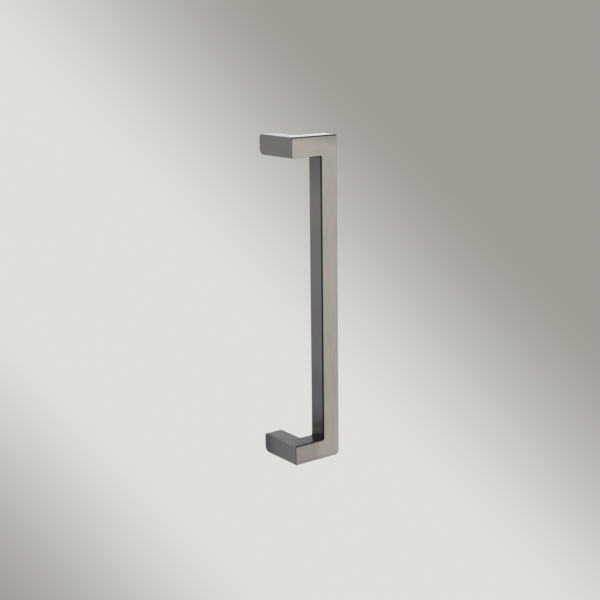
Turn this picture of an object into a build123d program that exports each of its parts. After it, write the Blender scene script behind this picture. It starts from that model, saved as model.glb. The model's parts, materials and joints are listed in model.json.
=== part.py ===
from build123d import *
from math import radians, tan
import os

# Door pull handle, one solid piece of square bar.
# An upright grip stands clear of the door. At its top and its bottom an arm steps
# sideways and turns back to a foot, whose flat end is bolted to the door.
# Origin: on the door's face, midway between the two fixing holes.
# +X runs sideways from the feet to the grip, +Y into the door, +Z up. Millimetres.

# Main sizes
section = 26.0  # side of the square bar
fixing_centres = 400.0  # one fixing hole to the other
side_step = 45.0  # line of the fixing holes to the middle of the grip
projection = 71.0  # door face to the front of the grip

# Softened corners and edges
edge_round = 1.8  # every long edge of the bar
arm_corner_round = 0.8  # front corner where each arm turns back to its foot
inner_bend_round = 2.0  # where the grip meets the arms, on the hand's side
top_bend_round = 2.6  # outer corner at the top of the grip
bottom_bend_round = 6.4  # outer corner at the bottom of the grip
foot_top_round = 4.0  # upper edge of each foot's end, at the door
foot_bottom_round = 8.0  # lower edge of each foot's end, at the door

# Blind hole in each foot, drilled and tapped M8
thread_core_radius = 3.4
thread_depth = 22.0
mouth_radius = 4.2
mouth_angle = 120.0
drill_point_angle = 118.0

# Places that follow from the sizes
half_section = section / 2
grip_right = side_step + half_section
overall_width = side_step + section
overall_height = fixing_centres + section
clear_height = fixing_centres - section
arm_back = projection - section
foot_levels = (-fixing_centres / 2, fixing_centres / 2)
mouth_depth = (mouth_radius - thread_core_radius) / tan(radians(mouth_angle / 2))
point_depth = thread_core_radius / tan(radians(drill_point_angle / 2))

with BuildPart() as pull_handle:
    # Grip and both arms: a C as it is seen from the room, open towards the feet
    with BuildSketch(Plane.XZ.offset(arm_back)) as front:
        with Locations((grip_right, 0)):
            Rectangle(overall_width, overall_height, align=(Align.MAX, Align.CENTER))
        with Locations((-half_section, 0)):
            Rectangle(side_step, clear_height, align=(Align.MIN, Align.CENTER), mode=Mode.SUBTRACT)
        fillet(front.vertices().group_by(Axis.X)[-2], inner_bend_round)
        fillet(front.vertices().group_by(Axis.X)[-1].sort_by(Axis.Y)[0], bottom_bend_round)
        fillet(front.vertices().group_by(Axis.X)[-1].sort_by(Axis.Y)[-1], top_bend_round)
    extrude(amount=section)

    # Feet: each runs straight back from the free end of its arm to the door
    with BuildSketch(Plane.YZ.offset(-half_section)) as side:
        with Locations(*[(0, level) for level in foot_levels]):
            Rectangle(projection, section, align=(Align.MAX, Align.CENTER))
        fillet(side.vertices().group_by(Axis.X)[-1].sort_by(Axis.Y)[0::2], foot_bottom_round)
        fillet(side.vertices().group_by(Axis.X)[-1].sort_by(Axis.Y)[1::2], foot_top_round)
    extrude(amount=section)

    # Front corner where each arm turns back to its foot: crisper than the long edges
    front_uprights = pull_handle.edges().filter_by(Axis.Z).filter_by_position(Axis.Y, -projection, -projection)
    fillet(front_uprights.group_by(Axis.X)[0], arm_corner_round)
    corner_seams = pull_handle.edges(Select.LAST).filter_by(Axis.Z)

    # Long edges: the outlines of the faces that look straight to the room or the door,
    # apart from the feet's ends, and the outlines of the feet's sides
    upright_faces = pull_handle.faces().filter_by(Axis.Y).filter_by_position(Axis.Y, -projection, -arm_back)
    foot_sides = pull_handle.faces().filter_by(Axis.X).filter_by_position(Axis.X, -half_section, half_section)
    fillet((upright_faces + foot_sides).edges() - corner_seams, edge_round)

    # Fixing holes, in from the door: countersunk mouth, drilled bore and drill point
    for level in foot_levels:
        with BuildSketch(Plane.YZ) as bore_section:
            with BuildLine():
                Polyline(
                    (0, level),
                    (0, level + mouth_radius),
                    (-mouth_depth, level + thread_core_radius),
                    (-thread_depth, level + thread_core_radius),
                    (-thread_depth - point_depth, level),
                    close=True,
                )
            make_face()
        revolve(axis=Axis((0, 0, level), (0, 1, 0)), mode=Mode.SUBTRACT)

pull_handle.part.label = "pull_handle"

os.makedirs("parts", exist_ok=True)
export_step(pull_handle.part, "parts/pull_handle.step")
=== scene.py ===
import json
from math import cos, pi, radians, sin
from types import SimpleNamespace

import bmesh
import bpy
from mathutils import Matrix, Vector


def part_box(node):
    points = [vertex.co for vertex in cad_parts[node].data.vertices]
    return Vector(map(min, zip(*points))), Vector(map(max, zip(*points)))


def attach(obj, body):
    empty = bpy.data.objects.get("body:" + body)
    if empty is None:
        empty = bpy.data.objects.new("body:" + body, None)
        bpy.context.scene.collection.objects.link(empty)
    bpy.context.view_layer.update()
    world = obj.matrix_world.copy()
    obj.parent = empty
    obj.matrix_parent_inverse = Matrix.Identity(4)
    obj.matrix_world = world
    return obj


# Door pull handle of square bar: grip, two arms and two feet in one piece.
# Metres, in the part's own frame: +X from the feet to the grip, +Y into the door, +Z up.

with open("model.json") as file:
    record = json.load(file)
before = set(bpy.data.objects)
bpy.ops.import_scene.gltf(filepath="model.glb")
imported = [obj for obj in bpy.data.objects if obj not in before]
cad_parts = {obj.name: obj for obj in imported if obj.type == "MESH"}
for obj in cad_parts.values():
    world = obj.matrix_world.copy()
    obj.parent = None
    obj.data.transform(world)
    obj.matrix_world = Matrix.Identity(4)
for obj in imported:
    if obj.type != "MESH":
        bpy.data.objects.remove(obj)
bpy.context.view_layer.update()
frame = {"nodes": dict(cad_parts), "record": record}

# Sizes that the looks need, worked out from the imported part
handle = frame["nodes"]["pull_handle"]
handle_low, handle_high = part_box("pull_handle")
mounts = {mount["name"]: mount for mount in frame["record"]["mounts"]}
bar_side = 2 * abs(handle_low.x)
half_bar = bar_side / 2
grip_inner = handle_high.x - bar_side
arm_inner = handle_high.z - bar_side
arm_back = handle_low.y + bar_side
fixing_level = mounts["upper_fixing"]["pos_m"][2]
bore_radius = mounts["upper_fixing"]["dims"]["r_mm"] / 1000
bore_length = mounts["upper_fixing"]["dims"]["length_mm"] / 1000

# Thread of each fixing hole
thread_pitch = 0.00125
thread_height = 0.00042
thread_half_width = 0.42  # of the pitch
thread_sunk = 0.00008  # into the bore's wall
thread_first = -0.0011  # start of the helix, along Y
thread_segments = 40  # in each turn

# Satin metal
metal_tone_rose = (0.494, 0.466, 0.441)
metal_tone_green = (0.469, 0.474, 0.443)
metal_roughness = 0.26
roughness_spread = 0.01
bump_strength = 0.05
bump_height = 0.00003

# Noises in the metal: size and detail, how far each is drawn out along the bar, and the shade that it changes
grain_width = 0.0004
grain_detail = 2.0
grain_stretch = 60
grain_spread = 0.01
streak_width = 0.0014
streak_stretch = 20
streak_spread = 0.025
mottle_width = 0.004
mottle_stretch = 5
mottle_spread = 0.025
tint_width = 0.0048
cloud_size = 0.05
cloud_spread = 0.02
soft_detail = 1.0
noise_range = (0.25, 0.75)
narrow_noise_range = (0.35, 0.65)

# Share of the surface's normal on one axis from which it starts to count, and at which it counts in full:
# on an eased edge, on the side to the room, and on a level top
edge_slopes = (0.08, 0.25)
room_slopes = (0.03, 0.15)
level_slopes = (0.90, 0.98)

# Tones of the eased edges, as shares of the metal's own: painted shade in place of darker reflections, and
# painted shadow in the inner bends
grip_edge_painted_shade = 0.14
arm_corner_painted_shade = 0.60
top_edge_painted_shade = 0.28
right_edge_painted_shade = 0.72
inner_bend_painted_shade = 0.42

# Painted light and shade that whole faces gain or lose, in place of reflections of the room
upper_arm_lift = 0.10
lower_arm_drop = -0.22
side_lift = 0.03
lower_foot_lift = 0.05
lower_foot_drop = -0.24
foot_end_drop = -0.28
upper_foot_top = -0.16
upper_arm_top = 0.24
lower_foot_top = -0.22
lower_arm_top = -0.40
grip_top_lift = 0.03
grip_bottom_drop = -0.06

# Lower foot's side, along Y, where painted shade lies: start of its fade, which is full at the door, and
# start and end of its dark end
foot_fade_start = 1.33 * arm_back
foot_end_start = 0.65 * arm_back
foot_end_full = 0.002

# Past the seam of arm and foot, where the arm's top tone starts to give way and where the foot's is full;
# both tops carry painted light and shade
seam_range = (0.001, -0.013)

# Grip's inner side, painted shade: distance from the arm where each step starts and where it ends, and its
# tone
inner_top_step = (0.057, -0.003, 0.66)
inner_bottom_steps = ((0.112, 0.062, 0.82), (0.052, 0.015, 0.68), (0.015, 0.003, 0.45))

# Face to the room: painted shade at its top and bottom edge, and how far in it reaches
below_top_painted_shade = 0.74
above_bottom_painted_shade = 0.86
top_reach_grip = 0.010
top_reach_arm = 0.006
top_reach_right = 0.008
bottom_reach = (0.001, 0.009)

# Camera
camera_place = (-0.86508, -1.24872, 0.34368)
camera_turn = radians(-36.190)
camera_tilt = radians(-12.966)
camera_roll = radians(-0.754)
camera_lens = 70.870

# Floor
floor_level = -1.05
floor_radius = 30
floor_segments = 96

# Tones of the surroundings
tone_left = (0.343, 0.337, 0.343)
tone_left_low = (0.266, 0.269, 0.284)
tone_pale = (0.745, 0.733, 0.712)
tone_warm = (0.800, 0.755, 0.720)
tone_above = (0.420, 0.420, 0.425)
tone_beneath = (0.560, 0.552, 0.540)
tone_corner = (0.342, 0.326, 0.300)
tone_back_right = (0.150, 0.155, 0.165)
tone_back_left = (0.230, 0.230, 0.232)

# Directions in the surroundings
back_right = (0.59, 0.81, 0)
back_left = (-0.59, 0.81, 0)
sight_line = (0.575, 0.787, -0.224)
backdrop_slope = (0.655, -0.328, 0.681)

# Ranges over which one tone gives way to the next
right_range = (-0.50, 0.50)
front_range = (0.2, -0.6)
left_low_range = (-0.36, -0.08)
above_range = (0.10, 0.45)
beneath_range = (-0.70, -0.92)
upper_right_range = (-0.078, 0.136)
lower_left_range = (-0.210, -0.395)
ahead_range = (0.86, 0.93)
back_right_range = (0.70, 0.85)
back_right_start = (0.12, 0.20)
back_right_end = (0.60, 0.45)
back_left_range = (0.60, 0.80)
back_left_start = (0.06, 0.14)
back_left_end = (0.46, 0.34)

# Light panel
panel_distance = 6.0
panel_level = 0.3
panel_width = 3.0
panel_height = 2.4
panel_power = 29
panel_colour = (0.985, 0.992, 1.0)


class Tree:
    """Adds nodes to one node tree and wires them."""

    def __init__(self, tree):
        self.tree = tree

    def put(self, socket, value):
        """Sets a socket to a value, or links it where the value is another node's output."""
        if isinstance(value, bpy.types.NodeSocket):
            self.tree.links.new(value, socket)
        elif socket.type == "RGBA" and len(value) == 3:
            socket.default_value = (*value, 1)
        else:
            socket.default_value = value

    def add(self, kind, settings=None, **inputs):
        """Adds a node and fills its inputs by name, with an underscore for each space."""
        node = self.tree.nodes.new(kind)
        for name, value in (settings or {}).items():
            setattr(node, name, value)
        for name, value in inputs.items():
            self.put(node.inputs[name.replace("_", " ")], value)
        return node

    def math(self, operation, *values):
        node = self.add("ShaderNodeMath", {"operation": operation})
        for socket, value in zip(node.inputs, values):
            self.put(socket, value)
        return node.outputs[0]

    def plus(self, first, *others):
        for other in others:
            first = self.math("ADD", first, other)
        return first

    def times(self, first, *others):
        for other in others:
            first = self.math("MULTIPLY", first, other)
        return first

    def minus(self, a, b):
        return self.math("SUBTRACT", a, b)

    def vector(self, operation, *values, output="Vector"):
        node = self.add("ShaderNodeVectorMath", {"operation": operation})
        for socket, value in zip(node.inputs, values):
            self.put(socket, value)
        return node.outputs[output]

    def along(self, direction, axis):
        """How far a direction goes along an axis."""
        return self.vector("DOT_PRODUCT", direction, axis, output="Value")

    def split(self, vector):
        return self.add("ShaderNodeSeparateXYZ", Vector=vector).outputs

    def ramp(self, value, start, end, low=0.0, high=1.0):
        """A soft step: low up to start, high from end."""
        node = self.add("ShaderNodeMapRange", {"interpolation_type": "SMOOTHSTEP"})
        for name, number in (("Value", value), ("From Min", start), ("From Max", end),
                             ("To Min", low), ("To Max", high)):
            self.put(node.inputs[name], number)
        return node.outputs["Result"]

    def mix(self, factor, a, b):
        """Mixes two colours. Inputs of this node share names, so they are found by place."""
        node = self.add("ShaderNodeMix", {"data_type": "RGBA"})
        for place, value in ((0, factor), (6, a), (7, b)):
            self.put(node.inputs[place], value)
        return node.outputs[2]

    def blend(self, factor, a, b):
        """Mixes two numbers, with the inputs found by place too."""
        node = self.add("ShaderNodeMix", {"data_type": "FLOAT"})
        for place, value in ((0, factor), (2, a), (3, b)):
            self.put(node.inputs[place], value)
        return node.outputs[0]

    def shaded(self, colour, shade):
        """A colour times a number."""
        node = self.add("ShaderNodeVectorMath", {"operation": "SCALE"}, Scale=shade)
        self.put(node.inputs[0], colour)
        return node.outputs["Vector"]

    def noise(self, place, scale, detail):
        return self.add("ShaderNodeTexNoise", Vector=place, Scale=scale, Detail=detail).outputs["Fac"]


def new_material(name):
    material = bpy.data.materials.new(name)
    material.use_nodes = True
    material.node_tree.nodes.clear()
    return material, Tree(material.node_tree)


# Surroundings: one tone for each direction, shared by the floor and by what lies past it
def studio_tone(t, direction):
    """Pale to the right and warmer in front, dimmer to the left and above, even beneath."""
    z = t.split(direction)["Z"]
    bearing = t.vector("NORMALIZE", t.vector("MULTIPLY", direction, (1, 1, 0)))
    x, y, _ = t.split(bearing)
    pale_side = t.mix(t.ramp(y, *front_range), tone_pale, tone_warm)
    dim_side = t.mix(t.ramp(z, *left_low_range), tone_left_low, tone_left)
    sides = t.mix(t.ramp(x, *right_range), dim_side, pale_side)
    tone = t.mix(t.ramp(z, *above_range), sides, tone_above)
    return t.mix(t.ramp(z, *beneath_range), tone, tone_beneath)


def backdrop_tone(t, sight):
    """Pale, and dimmer towards its upper right and its lower left."""
    slope = t.along(sight, backdrop_slope)
    dimmer = t.plus(t.ramp(slope, *upper_right_range), t.ramp(slope, *lower_left_range))
    return t.mix(dimmer, tone_pale, tone_corner)


def dim_band(t, direction, bearing, bearing_range, start, end):
    """How far a direction is in a band above the floor's edge, round a bearing."""
    z = t.split(direction)["Z"]
    band = t.times(t.ramp(z, *start), t.ramp(z, *end))
    return t.times(t.ramp(t.along(direction, bearing), *bearing_range), band)


def make_surroundings():
    """Group for the studio's tone in a direction from the handle and the backdrop's along a line of sight."""
    group = bpy.data.node_groups.new("surroundings", "ShaderNodeTree")
    group.interface.new_socket("Direction", in_out="INPUT", socket_type="NodeSocketVector")
    group.interface.new_socket("Sight", in_out="INPUT", socket_type="NodeSocketVector")
    group.interface.new_socket("Color", in_out="OUTPUT", socket_type="NodeSocketColor")
    t = Tree(group)
    given = t.add("NodeGroupInput")
    direction = t.vector("NORMALIZE", given.outputs["Direction"])
    sight = t.vector("NORMALIZE", given.outputs["Sight"])
    ahead = t.ramp(t.along(sight, sight_line), *ahead_range)
    tone = t.mix(ahead, studio_tone(t, direction), backdrop_tone(t, sight))
    on_right = dim_band(t, direction, back_right, back_right_range, back_right_start, back_right_end)
    on_left = dim_band(t, direction, back_left, back_left_range, back_left_start, back_left_end)
    tone = t.mix(on_right, tone, tone_back_right)
    tone = t.mix(on_left, tone, tone_back_left)
    t.add("NodeGroupOutput", Color=tone)
    return group


def make_world(surroundings):
    world = bpy.data.worlds.new("studio")
    world.use_nodes = True
    world.node_tree.nodes.clear()
    t = Tree(world.node_tree)
    direction = t.add("ShaderNodeTexCoord").outputs["Generated"]
    tone = t.add("ShaderNodeGroup", {"node_tree": surroundings}, Direction=direction, Sight=direction)
    light = t.add("ShaderNodeBackground", Color=tone.outputs["Color"], Strength=1.0)
    t.add("ShaderNodeOutputWorld", Surface=light.outputs[0])
    bpy.context.scene.world = world


def make_pale_floor(surroundings):
    """Glows with the studio's tone. It isn't sampled as a lamp, which keeps grain off the metal."""
    material, t = new_material("pale_floor")
    place = t.add("ShaderNodeNewGeometry").outputs["Position"]
    sight = t.vector("SUBTRACT", place, camera_place)
    tone = t.add("ShaderNodeGroup", {"node_tree": surroundings}, Direction=place, Sight=sight)
    glow = t.add("ShaderNodeEmission", Color=tone.outputs["Color"], Strength=1.0)
    t.add("ShaderNodeOutputMaterial", Surface=glow.outputs[0])
    material.cycles.emission_sampling = "NONE"
    return material


def make_floor(material):
    """The studio's floor, far below the handle."""
    mesh = bpy.data.meshes.new("floor")
    shape = bmesh.new()
    bmesh.ops.create_circle(shape, cap_ends=True, radius=floor_radius, segments=floor_segments)
    shape.to_mesh(mesh)
    shape.free()
    mesh.materials.append(material)
    floor = bpy.data.objects.new("floor", mesh)
    floor.location.z = floor_level
    bpy.context.scene.collection.objects.link(floor)


def make_light_panel():
    """Large soft light far behind the handle on the right: it shines along the tops of both arms."""
    data = bpy.data.lights.new("light_panel", "AREA")
    data.shape = "RECTANGLE"
    data.size = panel_width
    data.size_y = panel_height
    data.energy = panel_power
    data.color = panel_colour
    panel = bpy.data.objects.new("light_panel", data)
    place = Vector(back_right) * panel_distance
    place.z = panel_level
    panel.location = place
    panel.rotation_euler = (-place).to_track_quat("-Z", "Y").to_euler()
    panel.visible_camera = False
    bpy.context.scene.collection.objects.link(panel)


def make_camera():
    data = bpy.data.cameras.new("camera")
    data.lens = camera_lens
    camera = bpy.data.objects.new("camera", data)
    turn = Matrix.Rotation(camera_turn, 4, "Z")
    tilt = Matrix.Rotation(pi / 2 + camera_tilt, 4, "X")
    roll = Matrix.Rotation(camera_roll, 4, "Z")
    camera.matrix_world = Matrix.Translation(camera_place) @ turn @ tilt @ roll
    bpy.context.scene.collection.objects.link(camera)
    bpy.context.scene.camera = camera


# Satin metal: fine grain along the bar and soft mottling, with painted shade on its eased edges on the room's
# side and in the grip's inner corner, and painted light and shade on whole faces
def read_surface(t):
    """Where a point of the bar lies, and how far from 0 to 1 it is on each face, edge and run of the bar."""
    coordinates = t.add("ShaderNodeTexCoord")
    on = SimpleNamespace(place=coordinates.outputs["Object"])
    on.x, on.y, on.z = t.split(on.place)
    nx, ny, nz = t.split(coordinates.outputs["Normal"])
    slight, full = edge_slopes

    # Which way the surface looks
    on.to_room = t.ramp(ny, -room_slopes[0], -room_slopes[1])
    on.to_feet = t.ramp(nx, -slight, -full)
    on.level_top = t.ramp(nz, *level_slopes)
    to_right = t.ramp(nx, slight, full)
    to_top = t.ramp(nz, slight, full)
    up_or_down = t.ramp(t.math("ABSOLUTE", nz), slight, full)

    # Edges on the room's side, and the grip's inner side with its bends
    on.past_feet = t.math("GREATER_THAN", on.x, half_bar)
    on.left_edge = t.times(on.to_room, on.to_feet)
    on.top_edge = t.times(on.to_room, to_top)
    on.right_edge = t.times(on.to_room, to_right)
    on.inner_side = t.times(on.to_feet, on.past_feet)
    on.inner_bend = t.times(on.inner_side, up_or_down)

    # Runs of the bar: they meet where a point is as far past one run's side as past the other's
    past_grip = t.minus(on.x, grip_inner)
    past_arm = t.minus(t.math("ABSOLUTE", on.z), arm_inner)
    on.past_seam = t.minus(t.minus(on.x, half_bar), t.minus(on.y, arm_back))
    on.grip = t.math("GREATER_THAN", past_grip, past_arm)
    on.foot = t.math("LESS_THAN", on.past_seam, 0.0)
    on.towards_feet = t.ramp(on.x, grip_inner, half_bar)
    on.towards_right = t.ramp(on.x, grip_inner, handle_high.x)
    return on


def noise_along_bar(t, on, width, stretch, detail):
    """Noise drawn out along each run of the bar."""
    fine = 1 / width
    coarse = fine / stretch
    on_arm, on_foot, on_grip = (
        t.noise(t.vector("MULTIPLY", on.place, scales), 1.0, detail)
        for scales in ((coarse, fine, fine), (fine, coarse, fine), (fine, fine, coarse))
    )
    return t.blend(on.grip, t.blend(on.foot, on_arm, on_foot), on_grip)


def painted_face_light_and_cloud(t, on):
    """Painted light and shade that whole faces gain or lose, in place of reflections of the room, mostly
    towards the feet, and a soft random cloud of tone.
    """
    arm_shade = t.ramp(on.z, -arm_inner, arm_inner, lower_arm_drop, upper_arm_lift)
    arm_part = t.times(on.towards_feet, on.to_room, arm_shade)

    foot_fade = t.ramp(on.y, foot_fade_start, 0.0, 0.0, lower_foot_drop)
    foot_end = t.ramp(on.y, foot_end_start, foot_end_full, 0.0, foot_end_drop)
    low_foot = t.times(t.plus(foot_fade, foot_end, lower_foot_lift), t.ramp(on.z, 0.0, -arm_inner))
    foot_part = t.times(t.plus(low_foot, side_lift), t.minus(on.to_feet, on.inner_side))

    foot_top = t.ramp(on.z, 0.0, arm_inner, lower_foot_top, upper_foot_top)
    arm_top = t.ramp(on.z, 0.0, arm_inner, lower_arm_top, upper_arm_top)
    top_part = t.times(t.blend(t.ramp(on.past_seam, *seam_range), arm_top, foot_top), on.level_top)

    grip_shade = t.ramp(on.z, -arm_inner, arm_inner, grip_bottom_drop, grip_top_lift)
    grip_part = t.times(t.minus(1.0, on.towards_feet), grip_shade, on.to_room)

    cloud = t.noise(on.place, 1 / cloud_size, soft_detail)
    cloud_part = t.ramp(cloud, *narrow_noise_range, -cloud_spread, cloud_spread)
    return t.plus(arm_part, foot_part, grip_part, top_part, cloud_part)


def inner_side_painted_shade(t, on):
    """Painted shade on the grip's inner side: it darkens up to its top, and in steps down into its lower
    corner.
    """
    start, end, top_tone = inner_top_step
    tone = t.ramp(t.minus(arm_inner, on.z), start, end, 1.0, top_tone)
    above_lower_arm = t.plus(on.z, arm_inner)
    for start, end, low_tone in inner_bottom_steps:
        tone = t.times(tone, t.ramp(above_lower_arm, start, end, 1.0, low_tone))
    return tone


def room_side_painted_shade(t, on):
    """Painted shade on the face to the room: it darkens softly up to its top edge and down to its bottom
    edge.
    """
    top_reach = t.blend(on.towards_feet, top_reach_grip, top_reach_arm)
    top_reach = t.plus(top_reach, t.times(on.towards_right, top_reach_right))
    top_tone = t.ramp(t.minus(handle_high.z, on.z), 0.0, top_reach, below_top_painted_shade, 1.0)
    bottom_tone = t.ramp(t.minus(on.z, handle_low.z), *bottom_reach, above_bottom_painted_shade, 1.0)
    return t.times(top_tone, bottom_tone)


def make_satin_metal():
    material, t = new_material("satin_metal")
    on = read_surface(t)
    grain = noise_along_bar(t, on, grain_width, grain_stretch, grain_detail)
    streak = noise_along_bar(t, on, streak_width, streak_stretch, soft_detail)
    mottle = noise_along_bar(t, on, mottle_width, mottle_stretch, soft_detail)
    tint = noise_along_bar(t, on, tint_width, mottle_stretch, soft_detail)

    # Tone from the noises, which the metal has all over, then painted light and shade on whole faces
    shade = t.ramp(mottle, *noise_range, 1 - mottle_spread, 1 + mottle_spread)
    shade = t.plus(shade, t.ramp(streak, *noise_range, -streak_spread, streak_spread))
    shade = t.plus(shade, t.ramp(grain, *noise_range, -grain_spread, grain_spread))
    shade = t.plus(shade, painted_face_light_and_cloud(t, on))
    # Painted shade along the eased edges, on the grip's inner side and on the face to the room
    left_edge_painted_shade = t.blend(on.past_feet, arm_corner_painted_shade, grip_edge_painted_shade)
    for part, part_painted_shade in ((on.left_edge, left_edge_painted_shade), (on.top_edge, top_edge_painted_shade),
                            (on.right_edge, right_edge_painted_shade), (on.inner_bend, inner_bend_painted_shade),
                            (on.inner_side, inner_side_painted_shade(t, on)), (on.to_room, room_side_painted_shade(t, on))):
        shade = t.times(shade, t.blend(part, 1.0, part_painted_shade))

    hue = t.mix(t.ramp(tint, *narrow_noise_range), metal_tone_green, metal_tone_rose)
    roughness_part = t.ramp(mottle, *noise_range, -roughness_spread, roughness_spread)
    bump = t.add("ShaderNodeBump", Height=grain, Strength=bump_strength, Distance=bump_height)
    shader = t.add("ShaderNodeBsdfPrincipled", Base_Color=t.shaded(hue, shade), Metallic=1.0,
                   Roughness=t.plus(metal_roughness, roughness_part), Normal=bump.outputs[0])
    t.add("ShaderNodeOutputMaterial", Surface=shader.outputs[0])
    return material


def thread_rows(shape, level):
    """Corners of the ridge's section at each step along the helix. Its root is sunk in the bore's wall."""
    turns = int((bore_length + thread_first - thread_pitch) / thread_pitch)
    root = bore_radius + thread_sunk
    crest = bore_radius - thread_height
    profile = ((-thread_half_width, root), (0.0, crest), (thread_half_width, root))
    rows = []
    for step in range(turns * thread_segments + 1):
        angle = 2 * pi * step / thread_segments
        advance = thread_pitch * step / thread_segments
        row = []
        for offset, radius in profile:
            depth = thread_first - advance - offset * thread_pitch
            point = (radius * cos(angle), depth, level + radius * sin(angle))
            row.append(shape.verts.new(point))
        rows.append(row)
    return rows


def make_thread(name, level, metal):
    """Ridge of a tapped hole: one closed helix with a pointed crest."""
    shape = bmesh.new()
    rows = thread_rows(shape, level)
    for row, following in zip(rows, rows[1:]):
        for here in range(len(row)):
            there = (here + 1) % len(row)
            shape.faces.new((row[here], row[there], following[there], following[here]))
    shape.faces.new(rows[0])
    shape.faces.new(rows[-1][::-1])
    bmesh.ops.recalc_face_normals(shape, faces=shape.faces)
    mesh = bpy.data.meshes.new(name)
    shape.to_mesh(mesh)
    shape.free()
    mesh.materials.append(metal)
    thread = bpy.data.objects.new(name, mesh)
    bpy.context.scene.collection.objects.link(thread)
    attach(thread, "root")


satin_metal = make_satin_metal()
for slot in handle.material_slots:
    slot.material = satin_metal
make_thread("upper_thread", fixing_level, satin_metal)
make_thread("lower_thread", -fixing_level, satin_metal)

surroundings = make_surroundings()
make_floor(make_pale_floor(surroundings))
make_world(surroundings)
make_light_panel()
make_camera()
bpy.context.scene.view_settings.view_transform = "Standard"
